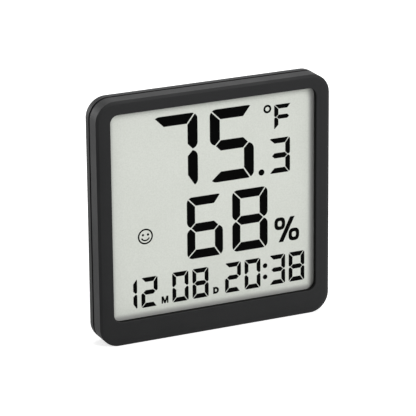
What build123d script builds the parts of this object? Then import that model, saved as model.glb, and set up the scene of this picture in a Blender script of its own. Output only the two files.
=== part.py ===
from build123d import *
import math
import os

# Square wall and table instrument that shows temperature and humidity on a large segment
# display. +X is to the right as seen from the front, the front faces -Y and +Z is up.
# The origin is the middle of the footprint on the surface that the case stands on.
# A depth is measured backwards from the front rim.

# Case outline, in millimetres
case_width = 98.0
case_height = 98.0
case_corner_radius = 8.0
wall = 1.8

# Front shell
front_shell_depth = 6.3
rim_slope_width = 1.1
rim_slope_depth = 0.42
rim_edge_radius = 0.15
rim_crown_width = 2.6
rim_crown_depth = 0.14
side_border = 5.85
top_border = 5.35
bottom_border = 9.7
window_corner_radius = 3.3
window_edge_radius = 0.35
lip_thickness = 1.9

# Display stack
gasket_thickness = 0.75
gasket_width = 1.0
gasket_setback = 0.4
polariser_thickness = 0.2
polariser_margin = 1.35
glass_thickness = 0.7
glass_margin = 1.5
contact_ledge = 3.8
reflector_thickness = 0.25
connector_width = 2.4
connector_end_gap = 6.2
connector_edge_gap = 0.5

# Holder frame behind the display
holder_thickness = 2.1
holder_gap = 0.25
holder_bar = 5.0
holder_edge_thickness = 0.6
holder_edge_width = 1.0
holder_bottom_gap = 0.3
holder_inner_radius = 1.5
hook_length = 6.0
hook_height = 0.9
hook_overlap = 0.4
hook_clearance = 0.05
hook_notch_gap = 0.4
hook_shares = (0.21, 0.5, 0.79)

# Seam between the shells
seam_width = 1.3
seam_inset = 1.0
tongue_clearance = 0.1
tongue_wall = 1.1
tongue_reach = 1.4

# Rear shell
shoulder_depth = 10.7
shoulder_inset = 4.5
shoulder_radius = 0.8
back_depth = 12.6
back_wall = 1.6
back_edge_radius = 2.0
inner_turn_depth = 9.7
inner_back_inset = 5.6
hump_side_room = 4.35
hump_top_room = 4.3
hump_draft = 2.0
hump_corner_radius = 6.0
hump_edge_radius = 1.2
hump_wall = 1.6

# Battery cells and their box
cell_radius = 5.25
cell_length = 44.5
cell_nub_radius = 1.9
cell_nub_length = 0.8
cell_edge_radius = 0.4
cell_front_clearance = 0.15
cell_back_clearance = 0.25
cell_side_clearance = 0.3
cell_spacing = 0.6
spring_room = 3.6
plate_room = 1.2
box_floor_gap = 0.4
box_floor = 0.9
box_wall = 2.0
box_top_drop = 23.3
box_corner_radius = 1.0

# Battery door
door_thickness = 1.5
door_ledge = 1.6
door_clearance = 0.2
door_corner_radius = 2.0
door_edge_radius = 0.3
tab_width = 6.0
tab_thickness = 1.1
tab_reach = 1.0
tab_root = 1.4
tab_gap = 0.3
tab_side_gap = 0.3
tab_play = 0.4
tab_end_gap = 0.4
tab_spacing = 28.0
latch_width = 11.0
latch_length = 7.0
latch_slit = 0.6
latch_groove_width = 0.7
latch_groove_depth = 0.4
latch_groove_pitch = 1.5
latch_groove_count = 3
latch_groove_border = 1.6
door_rib_width = 0.9
door_rib_drop = 1.2

# Stand leg
barrel_radius = 1.4
stand_open_angle = 38.0
leg_thickness = 2.2
leg_face_inset = 0.1
leg_top_width = 40.0
leg_bottom_width = 34.0
leg_bottom_gap = 2.2
leg_corner_radius = 5.0
leg_side_gap = 0.4
leg_panel_border = 5.0
leg_panel_radius = 3.0
leg_panel_depth = 0.5
leg_edge_radius = 0.4
recess_floor_gap = 0.4
recess_wall = 1.5
recess_side_wall = 2.4
recess_top_gap = 0.25
heel_clearance = 0.06
pin_radius = 1.0
pin_length = 1.6
pin_radial_clearance = 0.05
pin_end_clearance = 0.15
grip_groove_count = 4
grip_groove_width = 0.8
grip_groove_pitch = 1.7
grip_groove_depth = 0.5
grip_groove_border = 9.0

# Keyhole for a wall screw
keyhole_drop = 12.8
keyhole_head_radius = 3.6
keyhole_slot_radius = 1.7
keyhole_rise = 4.8

# Screws between the rear shell and the holder
post_radius = 2.2
post_pilot_radius = 0.9
post_side_inset = 7.0
post_end_inset = 10.0
post_pilot_floor = 0.5
boss_radius = 3.2
boss_depth = 1.4
screw_head_radius = 1.8
screw_head_height = 1.2
screw_shank_radius = 0.85
screw_length = 5.2
screw_bore_clearance = 0.2
screw_seat_thickness = 1.0
screw_cross_length = 2.0
screw_cross_width = 0.5
screw_cross_depth = 0.6
head_edge_radius = 0.3

# Circuit board
board_thickness = 1.0
board_side_gap = 0.75
board_bottom = 4.3
board_arm_over = 4.8
board_body_gap = 5.5
board_arm_gap = 2.2
board_corner_radius = 1.0
board_hole_clearance = 0.4
board_screw_head_radius = 1.3
board_screw_head_height = 0.6
board_screw_radius = 0.6
board_screw_depth = 1.7
board_screw_clearance = 0.05
board_screw_foot_share = 0.33
board_screw_height_share = 0.76

# Push buttons and their switches
button_pitch = 11.0
button_names = ("down_button", "up_button", "set_button")
plunger_names = ("down_plunger", "up_plunger", "set_plunger")
button_radius = 3.1
button_rise = 0.8
button_gap = 0.2
button_edge_radius = 0.5
button_dish_radius = 2.1
button_dish_depth = 0.25
flange_radius = 3.9
flange_thickness = 0.7
flange_gap = 0.1
flange_side_gap = 0.2
button_stem_radius = 1.3
button_travel = 0.3
switch_side = 5.2
switch_height = 1.9
switch_corner_radius = 0.4
plunger_radius = 1.0
plunger_bore_clearance = 0.08
plunger_rise = 0.4
plunger_sink = 0.5

# Parts on the board
chip_radius = 6.0
chip_height = 1.5
chip_crown_radius = 1.3
chip_place_shares = (-0.27, 0.56)
crystal_radius = 1.05
crystal_length = 6.0
crystal_place_shares = (0.2, 0.73)
crystal_lead_radius = 0.18
crystal_lead_length = 2.4
sensor_height_share = 0.53
sensor_size = 2.6
sensor_thickness = 0.9
sensor_port_radius = 0.6
sensor_port_depth = 0.3
sensor_slit_width = 0.9
sensor_slit_reach = 3.6
chip_part_length = 2.0
chip_part_width = 1.25
capacitor_height = 1.1
resistor_height = 0.55
capacitor_place_shares = ((0.04, 0.39), (0.13, 0.39), (0.31, 0.53), (-0.53, 0.34), (0.4, 0.8))
resistor_place_shares = ((0.04, 0.25), (0.13, 0.25), (0.22, 0.25), (0.49, 0.53), (-0.53, 0.73))

# Vent over the sensor
vent_slot_length = 9.0
vent_slot_width = 1.2
vent_slot_pitch = 2.6
vent_slot_count = 5

# Battery contacts
contact_thickness = 0.3
contact_plate_width = 8.0
contact_inset = 0.05
contact_dimple_radius = 1.5
contact_dimple_rise = 0.7
contact_tail_width = 2.4
contact_tail_thickness = 0.3
contact_tail_reach = 3.0
contact_slot_gap = 0.1
spring_wire_radius = 0.28
spring_base_radius = 3.2
spring_tip_radius = 2.0
spring_quarter_turns = 10
spring_seat_gap = 0.03

# How far a cutting shape runs past what it cuts, and how near an edge lies to a chosen depth
overrun = 0.5
pick_slack = 0.01

# Depths from the front rim, worked out from the stack
display_depth = lip_thickness + gasket_thickness
front_glass_depth = display_depth + polariser_thickness
rear_glass_depth = front_glass_depth + glass_thickness
reflector_depth = rear_glass_depth + glass_thickness
holder_depth = reflector_depth + reflector_thickness
board_depth = holder_depth + holder_thickness
board_back = board_depth + board_thickness
seam_end = front_shell_depth + seam_width
tongue_front = front_shell_depth - tongue_reach
tongue_inset = wall + tongue_clearance
inner_inset = tongue_inset + tongue_wall
back_inner = back_depth - back_wall
box_floor_front = holder_depth + box_floor_gap
box_floor_back = box_floor_front + box_floor
cell_axis_depth = box_floor_back + cell_front_clearance + cell_radius
door_inner = cell_axis_depth + cell_radius + cell_back_clearance
case_depth = door_inner + door_thickness
hump_inner = case_depth - hump_wall
front_y = -case_depth / 2

# Places in the face plane
case_mid = case_height / 2
window_width = case_width - 2 * side_border
window_bottom = bottom_border
window_top = case_height - top_border
cell_pitch = 2 * cell_radius + cell_spacing
box_top = case_height - box_top_drop
box_bottom = box_top - 2 * cell_side_clearance - cell_pitch - 2 * cell_radius
box_middle = (box_bottom + box_top) / 2
hump_height = box_top + hump_top_room
box_half = (cell_length + spring_room + plate_room) / 2
hump_half = box_half + box_wall + hump_side_room
lower_cell_height = box_bottom + cell_side_clearance + cell_radius
upper_cell_height = lower_cell_height + cell_pitch
door_half = box_half + door_ledge
door_bottom = box_bottom - door_ledge
door_top = box_top + door_ledge
post_side = case_width / 2 - post_side_inset
post_places = (
    (-post_side, post_end_inset),
    (post_side, post_end_inset),
    (-post_side, case_height - post_end_inset),
    (post_side, case_height - post_end_inset),
)
keyhole_height = case_height - keyhole_drop

# Stand geometry
leg_back = case_depth - leg_face_inset
leg_front = leg_back - leg_thickness
hinge_depth = leg_back - barrel_radius
recess_floor = hinge_depth - barrel_radius - recess_floor_gap
heel_reach = (hinge_depth - recess_floor - heel_clearance) / math.sin(math.radians(stand_open_angle))
heel_swing = math.hypot(heel_reach, barrel_radius)
recess_top = door_bottom - tab_reach - tab_end_gap - recess_wall
hinge_height = recess_top - recess_top_gap - heel_swing
pin_reach = leg_top_width / 2 + pin_length

# Hooks of the front shell over the holder's thin edge
holder_inset = inner_inset + holder_gap
holder_half = case_width / 2 - holder_inset
holder_corner_radius = case_corner_radius - holder_inset
hook_front = holder_depth + holder_edge_thickness + hook_clearance
hook_reach = case_width / 2 - wall - holder_half + hook_overlap

# The connector's place under the glass ledge, and the holder above it
connector_top = window_bottom - glass_margin - connector_edge_gap
connector_half = window_width / 2 + glass_margin - connector_end_gap
holder_bottom = connector_top + holder_bottom_gap
holder_top = case_height - holder_inset

# Battery door tabs, which lie under the hump's skin
tab_back = door_inner - tab_gap
tab_front = tab_back - tab_thickness

# The buttons stand in a column between the hump and the shoulder, the sensor across from them
hump_foot_half = hump_half + hump_draft * (case_depth - back_depth) / (case_depth - shoulder_depth)
button_side = (hump_foot_half + case_width / 2 - shoulder_inset) / 2
button_places = [(button_side, box_middle + step * button_pitch) for step in (-1, 0, 1)]
sensor_side = -button_side

# The screws' seats
boss_front = back_inner - boss_depth
screw_seat = boss_front + screw_seat_thickness
counterbore_radius = screw_head_radius + screw_bore_clearance

# The board's outline and what stands on it, placed by shares of its foot
board_half = holder_half - board_side_gap
board_body_top = box_bottom - box_wall - board_body_gap
board_arm_top = button_places[-1][1] + switch_side / 2 + board_arm_over
arm_left = box_half + box_wall + board_arm_gap
board_screw_side = holder_half - holder_bar / 2


def on_board(shares):
    return (board_half * shares[0], board_bottom + (board_body_top - board_bottom) * shares[1])


board_screw_height = on_board((0, board_screw_height_share))[1]
board_screw_foot = on_board((board_screw_foot_share, 0))[0]
board_screw_places = (
    (-board_screw_side, board_screw_height),
    (board_screw_side, board_screw_height),
    (-board_screw_foot, holder_bottom + holder_bar / 2),
    (board_screw_foot, holder_bottom + holder_bar / 2),
)
chip_place = on_board(chip_place_shares)
crystal_place = on_board(crystal_place_shares)
sensor_place = (sensor_side, on_board((0, sensor_height_share))[1])

os.makedirs("parts", exist_ok=True)


def at_depth(depth):
    # The plane parallel to the face at a depth, with X across and Y upwards
    return Plane.XZ.offset(-(front_y + depth))


def slab(draw, front, back, mode=Mode.ADD):
    # What the function draws, between two depths
    with BuildSketch(at_depth(back)) as profile:
        draw()
    extrude(profile.sketch, amount=back - front, mode=mode)


def taper(draw_front, front, draw_back, back, mode=Mode.ADD):
    # A straight-sided transition between two outlines
    with BuildSketch(at_depth(front)) as near:
        draw_front()
    with BuildSketch(at_depth(back)) as far:
        draw_back()
    loft([near.sketch, far.sketch], ruled=True, mode=mode)


def box_outline(left, right, bottom, top, radius=0):
    with Locations(((left + right) / 2, (bottom + top) / 2)):
        if radius > 0:
            RectangleRounded(right - left, top - bottom, radius)
        else:
            Rectangle(right - left, top - bottom)


def case_outline(inset):
    radius = case_corner_radius - inset
    half = case_width / 2 - inset
    box_outline(-half, half, inset, case_height - inset, radius)


def window_outline(grow):
    half = window_width / 2 + grow
    box_outline(-half, half, window_bottom - grow, window_top + grow, window_corner_radius + grow)


def sheet_outline(margin, drop=0):
    # A sheet behind the window, which reaches past it by a margin and further down by a drop
    half = window_width / 2 + margin
    box_outline(-half, half, window_bottom - margin - drop, window_top + margin)


def hump_outline(depth, inset, bottom):
    # The battery hump's section at a depth, which narrows towards the back
    share = (case_depth - depth) / (case_depth - shoulder_depth)
    half = hump_half + hump_draft * share - inset
    top = hump_height + hump_draft * share - inset
    box_outline(-half, half, bottom, top, hump_corner_radius - inset)


def hump_outer(depth):
    # The outer section runs down past the base, where it is trimmed
    hump_outline(depth, 0, -2 * hump_corner_radius)


def hump_hollow(depth):
    hump_outline(depth, hump_wall, wall)


def box_round():
    box_outline(-box_half, box_half, box_bottom, box_top, box_corner_radius)


def box_outside():
    half = box_half + box_wall
    box_outline(-half, half, box_bottom - box_wall, box_top + box_wall, box_corner_radius)


def door_outline(grow):
    half = door_half + grow
    box_outline(-half, half, door_bottom - grow, door_top + grow, door_corner_radius + grow)


def circles(places, radius):
    with Locations(*places):
        Circle(radius)


def barrel(half_length, radius, mode=Mode.ADD):
    # A round bar on the stand's hinge line
    with BuildSketch(Plane.YZ.offset(-half_length)) as section:
        with Locations((front_y + hinge_depth, hinge_height)):
            Circle(radius)
    extrude(section.sketch, amount=2 * half_length, mode=mode)


def inside_rim(edge):
    # Whether an edge of the face lies at the window and not at the rim
    middle = edge.position_at(1 / 2)
    across = abs(middle.X) < window_width / 2 + window_edge_radius
    return across and window_bottom - window_edge_radius < middle.Z < window_top + window_edge_radius


def leg_half_width(height):
    share = (height - leg_bottom_gap) / (hinge_height - leg_bottom_gap)
    return (leg_bottom_width + (leg_top_width - leg_bottom_width) * share) / 2


def leg_outline(bottom, top, grow):
    low = leg_half_width(bottom) + grow
    high = leg_half_width(top) + grow
    with BuildLine() as edge:
        Polyline((-low, bottom), (low, bottom), (high, top), (-high, top), close=True)
    make_face(edge.edges())


def finish(piece, name):
    piece.part.label = name
    export_step(piece.part, "parts/" + name + ".step")


def ring(draw_outer, draw_inner, front, back, mode=Mode.ADD):
    # What lies between two outlines, over a run of depth
    with BuildSketch(at_depth(back)) as outer:
        draw_outer()
    with BuildSketch(at_depth(back)) as inner:
        draw_inner()
    extrude(outer.sketch - inner.sketch, amount=back - front, mode=mode)


# Front shell: a frame with a flat face, whose rim is swept off all round
with BuildPart() as front_bezel:
    slab(lambda: case_outline(0), 0, front_shell_depth)
    # The rim's section, carried round the case: a slope at the edge and a slight crown behind it
    with BuildLine(at_depth(0)) as case_path:
        half = case_width / 2
        FilletPolyline(
            (-half, case_mid),
            (-half, case_height),
            (half, case_height),
            (half, 0),
            (-half, 0),
            radius=(0,) + (case_corner_radius,) * 4,
            close=True,
        )
    with BuildSketch(Plane(origin=(-half, front_y, case_mid), x_dir=(1, 0, 0), z_dir=(0, 0, 1))) as rim:
        crown_start = (rim_slope_width, rim_crown_depth)
        crown_end = (rim_slope_width + rim_crown_width, 0)
        with BuildLine():
            Polyline(
                (crown_end[0], crown_end[1]),
                (crown_end[0], -overrun),
                (-overrun, -overrun),
                (-overrun, rim_slope_depth + rim_crown_depth),
                (0, rim_slope_depth + rim_crown_depth),
                crown_start,
            )
            TangentArc(crown_end, crown_start, tangent=(-1, 0))
        make_face()
    sweep(rim.sketch, path=case_path.line, mode=Mode.SUBTRACT)
    rim_y = front_y + rim_slope_depth + rim_crown_depth
    rim_edges = front_bezel.edges().filter_by_position(Axis.Y, rim_y - pick_slack, rim_y + pick_slack)
    fillet(rim_edges, radius=rim_edge_radius)
    slab(lambda: window_outline(0), 0, front_shell_depth, Mode.SUBTRACT)
    slab(lambda: case_outline(wall), lip_thickness, front_shell_depth, Mode.SUBTRACT)
    lip_edges = front_bezel.edges().filter_by_position(Axis.Y, front_y - pick_slack, front_y + pick_slack)
    fillet(lip_edges.filter_by(inside_rim), radius=window_edge_radius)
    # Hooks on the side walls, which hold the holder frame
    for side in (-1, 1):
        wall_side = side * (case_width / 2 - wall)
        for share in hook_shares:
            height = case_height * share
            with BuildSketch(Plane.XY.offset(height - hook_length / 2)) as hook:
                with BuildLine():
                    Polyline(
                        (wall_side, front_y + hook_front),
                        (wall_side - side * hook_reach, front_y + hook_front),
                        (wall_side - side * hook_reach, front_y + hook_front + hook_height / 3),
                        (wall_side, front_y + hook_front + hook_height),
                        close=True,
                    )
                make_face()
            extrude(hook.sketch, amount=hook_length)
finish(front_bezel, "front_bezel")

# Foam ring between the front shell's lip and the display
with BuildPart() as display_gasket:
    ring(
        lambda: window_outline(gasket_setback + gasket_width),
        lambda: window_outline(gasket_setback),
        lip_thickness,
        display_depth,
    )
finish(display_gasket, "display_gasket")

# Display stack, from the front film to the reflector
with BuildPart() as front_polariser:
    slab(lambda: sheet_outline(polariser_margin), display_depth, front_glass_depth)
finish(front_polariser, "front_polariser")

with BuildPart() as front_glass:
    slab(lambda: sheet_outline(glass_margin, contact_ledge), front_glass_depth, rear_glass_depth)
finish(front_glass, "front_glass")

with BuildPart() as rear_glass:
    slab(lambda: sheet_outline(glass_margin), rear_glass_depth, reflector_depth)
finish(rear_glass, "rear_glass")

with BuildPart() as rear_reflector:
    slab(lambda: sheet_outline(polariser_margin), reflector_depth, holder_depth)
finish(rear_reflector, "rear_reflector")

# Striped rubber strip that carries the segment signals from the board to the glass ledge
with BuildPart() as zebra_connector:
    slab(
        lambda: box_outline(-connector_half, connector_half, connector_top - connector_width, connector_top),
        rear_glass_depth,
        board_depth,
    )
finish(zebra_connector, "zebra_connector")

# Holder frame, which presses the glass and carries the board and the screw posts
with BuildPart() as display_holder:
    ring(
        lambda: box_outline(-holder_half, holder_half, holder_bottom, holder_top, holder_corner_radius),
        lambda: box_outline(
            holder_bar - holder_half,
            holder_half - holder_bar,
            holder_bottom + holder_bar,
            holder_top - holder_bar,
            holder_inner_radius,
        ),
        holder_depth,
        board_depth,
    )
    # Thin edge that passes under the hooks
    for side in (-1, 1):
        for share in hook_shares:
            height = case_height * share
            slab(
                lambda: box_outline(
                    min(side * holder_half, side * (holder_half - holder_edge_width)),
                    max(side * holder_half, side * (holder_half - holder_edge_width)),
                    height - hook_length / 2 - hook_notch_gap,
                    height + hook_length / 2 + hook_notch_gap,
                ),
                holder_depth + holder_edge_thickness,
                board_depth,
                Mode.SUBTRACT,
            )
    # Posts for the housing screws
    with BuildSketch(at_depth(boss_front)) as posts:
        with Locations(*post_places):
            Circle(post_radius)
    extrude(posts.sketch, amount=boss_front - holder_depth)
    with BuildSketch(at_depth(boss_front)) as pilots:
        with Locations(*post_places):
            Circle(post_pilot_radius)
    extrude(pilots.sketch, amount=boss_front - holder_depth - post_pilot_floor, mode=Mode.SUBTRACT)
    # Pilot holes for the board screws
    with BuildSketch(at_depth(board_depth)) as board_pilots:
        with Locations(*board_screw_places):
            Circle(board_screw_radius + board_screw_clearance)
    extrude(board_pilots.sketch, amount=board_screw_depth, mode=Mode.SUBTRACT)
finish(display_holder, "display_holder")

# Rear shell: a tray with a sloped shoulder and a battery hump that reaches the base
with BuildPart() as rear_cover:
    slab(lambda: case_outline(0), seam_end, shoulder_depth)
    taper(lambda: case_outline(0), shoulder_depth, lambda: case_outline(shoulder_inset), back_depth)
    shoulder_y = front_y + shoulder_depth
    shoulder_edges = rear_cover.edges().filter_by_position(
        Axis.Y, shoulder_y - pick_slack, shoulder_y + pick_slack
    )
    fillet(shoulder_edges, radius=shoulder_radius)
    fillet(rear_cover.edges().group_by(Axis.Y)[-1], radius=back_edge_radius)
    taper(lambda: hump_outer(shoulder_depth), shoulder_depth, lambda: hump_outer(case_depth), case_depth)
    fillet(rear_cover.edges().group_by(Axis.Y)[-1], radius=hump_edge_radius)
    with BuildSketch(Plane.XY) as below:
        Rectangle(2 * case_width, 4 * case_depth)
    extrude(below.sketch, amount=-3 * hump_corner_radius, mode=Mode.SUBTRACT)
    # Seam tongue, and the lip inside the front shell
    slab(lambda: case_outline(seam_inset), front_shell_depth, seam_end)
    slab(lambda: case_outline(tongue_inset), tongue_front, front_shell_depth)
    # Hollow of the tray and of the hump
    slab(lambda: case_outline(inner_inset), tongue_front - overrun, inner_turn_depth, Mode.SUBTRACT)
    taper(
        lambda: case_outline(inner_inset),
        inner_turn_depth,
        lambda: case_outline(inner_back_inset),
        back_inner,
        Mode.SUBTRACT,
    )
    taper(
        lambda: hump_hollow(inner_turn_depth),
        inner_turn_depth,
        lambda: hump_hollow(hump_inner),
        hump_inner,
        Mode.SUBTRACT,
    )
    # Battery box, the stand's pocket and the bosses for the housing screws
    skin_middle = case_depth - hump_wall / 2
    slab(box_outside, box_floor_front, skin_middle)
    slab(
        lambda: leg_outline(0, recess_top + recess_wall, leg_side_gap + recess_side_wall),
        recess_floor - recess_wall,
        skin_middle,
    )
    slab(lambda: circles(post_places, boss_radius), boss_front, back_depth - back_wall / 2)
    # What is cut out of them
    slab(box_round, box_floor_back, case_depth + overrun, Mode.SUBTRACT)
    slab(lambda: door_outline(door_clearance), door_inner, case_depth + overrun, Mode.SUBTRACT)
    slab(
        lambda: leg_outline(-overrun, recess_top, leg_side_gap),
        recess_floor,
        case_depth + overrun,
        Mode.SUBTRACT,
    )
    barrel(pin_reach + pin_end_clearance, pin_radius + pin_radial_clearance, Mode.SUBTRACT)
    for side in (-1, 1):
        notch_half = tab_width / 2 + tab_side_gap
        notch_mid = side * tab_spacing / 2
        slab(
            lambda: box_outline(
                notch_mid - notch_half, notch_mid + notch_half, box_bottom - box_wall, box_bottom + overrun
            ),
            tab_front - tab_play,
            door_inner,
            Mode.SUBTRACT,
        )
    slab(lambda: circles(post_places, counterbore_radius), screw_seat, back_depth + overrun, Mode.SUBTRACT)
    slab(
        lambda: circles(post_places, screw_shank_radius + screw_bore_clearance),
        boss_front - overrun,
        screw_seat + overrun,
        Mode.SUBTRACT,
    )
    # Keyhole: a round hole for the screw's head and a slot above it for the shank
    slab(
        lambda: circles([(0, keyhole_height)], keyhole_head_radius),
        back_inner - overrun,
        back_depth + overrun,
        Mode.SUBTRACT,
    )
    with BuildSketch(at_depth(back_depth + overrun)) as keyhole_slot:
        with Locations((0, keyhole_height + keyhole_rise / 2)):
            SlotCenterToCenter(keyhole_rise, 2 * keyhole_slot_radius, rotation=90)
    extrude(keyhole_slot.sketch, amount=back_wall + 2 * overrun, mode=Mode.SUBTRACT)
    # Button holes and the vent over the sensor
    slab(
        lambda: circles(button_places, button_radius + button_gap),
        back_inner - overrun,
        back_depth + button_rise + overrun,
        Mode.SUBTRACT,
    )
    slab(
        lambda: circles(button_places, flange_radius + flange_side_gap),
        back_inner - flange_gap - flange_thickness - button_travel - overrun,
        back_inner,
        Mode.SUBTRACT,
    )
    with BuildSketch(at_depth(back_depth + overrun)) as vent:
        with Locations(sensor_place):
            with GridLocations(vent_slot_length, vent_slot_pitch, 1, vent_slot_count):
                SlotOverall(vent_slot_length, vent_slot_width)
    extrude(vent.sketch, amount=back_wall + 2 * overrun, mode=Mode.SUBTRACT)
    # Gaps in the inner lip where the front shell's hooks pass, and slots for the contact tails
    for side in (-1, 1):
        for share in hook_shares:
            hook_middle = case_height * share
            hook_gap_half = hook_length / 2 + hook_notch_gap
            low = hook_middle - hook_gap_half
            high = hook_middle + hook_gap_half
            outer_side = side * (case_width / 2 - wall)
            inner_side = side * (case_width / 2 - inner_inset - overrun)
            slab(
                lambda: box_outline(min(outer_side, inner_side), max(outer_side, inner_side), low, high),
                tongue_front - overrun,
                front_shell_depth,
                Mode.SUBTRACT,
            )
    for height in (lower_cell_height, upper_cell_height):
        slot_half = contact_tail_width / 2 + contact_slot_gap
        low = height - slot_half
        high = height + slot_half
        slab(
            lambda: box_outline(box_half - overrun, box_half + box_wall + overrun, low, high),
            board_back - contact_slot_gap,
            board_back + contact_tail_thickness + contact_slot_gap,
            Mode.SUBTRACT,
        )
finish(rear_cover, "rear_cover")

# Battery door: a plate with two tabs under the hump's skin, a thumb latch and a stiffening rib
with BuildPart() as battery_door:
    slab(lambda: door_outline(0), door_inner, case_depth)
    fillet(battery_door.edges().group_by(Axis.Y)[-1], radius=door_edge_radius)
    for side in (-1, 1):
        tab_left = side * tab_spacing / 2 - tab_width / 2
        tab_right = side * tab_spacing / 2 + tab_width / 2
        slab(
            lambda: box_outline(tab_left, tab_right, door_bottom - tab_reach, box_bottom + tab_root),
            tab_front,
            tab_back,
        )
        slab(
            lambda: box_outline(tab_left, tab_right, box_bottom + tab_side_gap, box_bottom + tab_root),
            tab_back,
            door_inner,
        )
    rib_half = box_half - door_ledge
    rib_low = box_middle - door_rib_width / 2
    rib_high = box_middle + door_rib_width / 2
    slab(
        lambda: box_outline(-rib_half, rib_half, rib_low, rib_high),
        door_inner - door_rib_drop,
        door_inner,
    )
    for side in (-1, 1):
        slit_middle = side * (latch_width + latch_slit) / 2
        slit_left = slit_middle - latch_slit / 2
        slit_right = slit_middle + latch_slit / 2
        slab(
            lambda: box_outline(slit_left, slit_right, door_top - latch_length, door_top + overrun),
            door_inner - overrun,
            case_depth + overrun,
            Mode.SUBTRACT,
        )
    for row in range(latch_groove_count):
        groove_middle = door_top - latch_groove_border - row * latch_groove_pitch
        slab(
            lambda: box_outline(
                latch_groove_border - latch_width / 2,
                latch_width / 2 - latch_groove_border,
                groove_middle - latch_groove_width / 2,
                groove_middle + latch_groove_width / 2,
            ),
            case_depth - latch_groove_depth,
            case_depth + overrun,
            Mode.SUBTRACT,
        )
finish(battery_door, "battery_door")

# Fold-out leg: a tapered plate with its hinge barrel, moulded pins and the heel that stops it
with BuildPart() as stand_leg:
    leg_back_y = front_y + leg_back
    leg_front_y = front_y + leg_front
    hinge_y = front_y + hinge_depth
    heel_top = hinge_height + heel_reach
    blend_drop = math.sqrt(barrel_radius**2 - (hinge_depth - leg_front) ** 2)
    with BuildSketch(Plane.YZ.offset(-leg_top_width)) as side_view:
        with BuildLine():
            Polyline(
                (leg_front_y, hinge_height - blend_drop),
                (leg_front_y, leg_bottom_gap),
                (leg_back_y, leg_bottom_gap),
                (leg_back_y, heel_top),
                (hinge_y, heel_top),
                (hinge_y, hinge_height + barrel_radius),
            )
            ThreePointArc(
                (hinge_y, hinge_height + barrel_radius),
                (hinge_y - barrel_radius, hinge_height),
                (leg_front_y, hinge_height - blend_drop),
            )
        make_face()
    extrude(side_view.sketch, amount=2 * leg_top_width)
    slab(lambda: leg_outline(leg_bottom_gap, heel_top, 0), recess_floor, case_depth, Mode.INTERSECT)
    bottom_corners = stand_leg.edges().filter_by(Axis.Y).group_by(Axis.Z)[0]
    fillet(bottom_corners, radius=leg_corner_radius)
    fillet(stand_leg.edges().group_by(Axis.Z)[-1], radius=leg_edge_radius)
    barrel(pin_reach, pin_radius)
    panel_bottom = leg_bottom_gap + grip_groove_border + leg_panel_border
    with BuildSketch(at_depth(leg_back)) as panel:
        leg_outline(panel_bottom, hinge_height - leg_panel_border, -leg_panel_border)
        fillet(panel.vertices(), radius=leg_panel_radius)
    extrude(panel.sketch, amount=leg_panel_depth, mode=Mode.SUBTRACT)
    for row in range(grip_groove_count):
        groove_middle = leg_bottom_gap + grip_groove_border - row * grip_groove_pitch
        groove_half = leg_bottom_width / 2 - grip_groove_border
        slab(
            lambda: box_outline(
                -groove_half,
                groove_half,
                groove_middle - grip_groove_width / 2,
                groove_middle + grip_groove_width / 2,
            ),
            leg_back - grip_groove_depth,
            leg_back + overrun,
            Mode.SUBTRACT,
        )
finish(stand_leg, "stand_leg")

# Screws that hold the rear shell to the holder's posts
with BuildPart() as housing_screws:
    slab(lambda: circles(post_places, screw_head_radius), screw_seat, screw_seat + screw_head_height)
    fillet(housing_screws.edges().group_by(Axis.Y)[-1], radius=head_edge_radius)
    slab(lambda: circles(post_places, screw_shank_radius), screw_seat - screw_length, screw_seat)
    with BuildSketch(at_depth(screw_seat + screw_head_height)) as crosses:
        with Locations(*post_places):
            Rectangle(screw_cross_length, screw_cross_width)
            Rectangle(screw_cross_width, screw_cross_length)
    extrude(crosses.sketch, amount=screw_cross_depth, mode=Mode.SUBTRACT)
finish(housing_screws, "housing_screws")

# Circuit board: a wide foot behind the display with an arm beside the battery box
with BuildPart() as main_board:
    notch_side = post_side - post_radius - board_hole_clearance
    notch_top = post_end_inset + post_radius + board_hole_clearance
    with BuildSketch(at_depth(board_back)) as board:
        with BuildLine():
            Polyline(
                (-notch_side, board_bottom),
                (notch_side, board_bottom),
                (notch_side, notch_top),
                (board_half, notch_top),
                (board_half, board_arm_top),
                (arm_left, board_arm_top),
                (arm_left, board_body_top),
                (-board_half, board_body_top),
                (-board_half, notch_top),
                (-notch_side, notch_top),
                close=True,
            )
        make_face()
        fillet(board.vertices(), radius=board_corner_radius)
    extrude(board.sketch, amount=board_thickness)
    slab(
        lambda: circles(board_screw_places, board_screw_radius + board_screw_clearance),
        board_depth - overrun,
        board_back + overrun,
        Mode.SUBTRACT,
    )
    # Slits that keep the board's warmth from the sensor
    for side in (-1, 1):
        slit_middle = sensor_place[1] + side * sensor_slit_reach
        slab(
            lambda: box_outline(
                sensor_side - sensor_slit_reach,
                sensor_side + sensor_slit_reach,
                slit_middle - sensor_slit_width / 2,
                slit_middle + sensor_slit_width / 2,
            ),
            board_depth - overrun,
            board_back + overrun,
            Mode.SUBTRACT,
        )
finish(main_board, "main_board")

with BuildPart() as board_screws:
    slab(
        lambda: circles(board_screw_places, board_screw_head_radius),
        board_back,
        board_back + board_screw_head_height,
    )
    fillet(board_screws.edges().group_by(Axis.Y)[-1], radius=board_screw_head_height / 2)
    slab(
        lambda: circles(board_screw_places, board_screw_radius),
        board_depth - board_screw_depth + board_screw_clearance,
        board_back,
    )
finish(board_screws, "board_screws")

# Driver chip under its blob of resin
with BuildPart() as driver_chip:
    slab(lambda: circles([chip_place], chip_radius), board_back, board_back + chip_height)
    fillet(driver_chip.edges().group_by(Axis.Y)[-1], radius=chip_crown_radius)
finish(driver_chip, "driver_chip")

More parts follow.
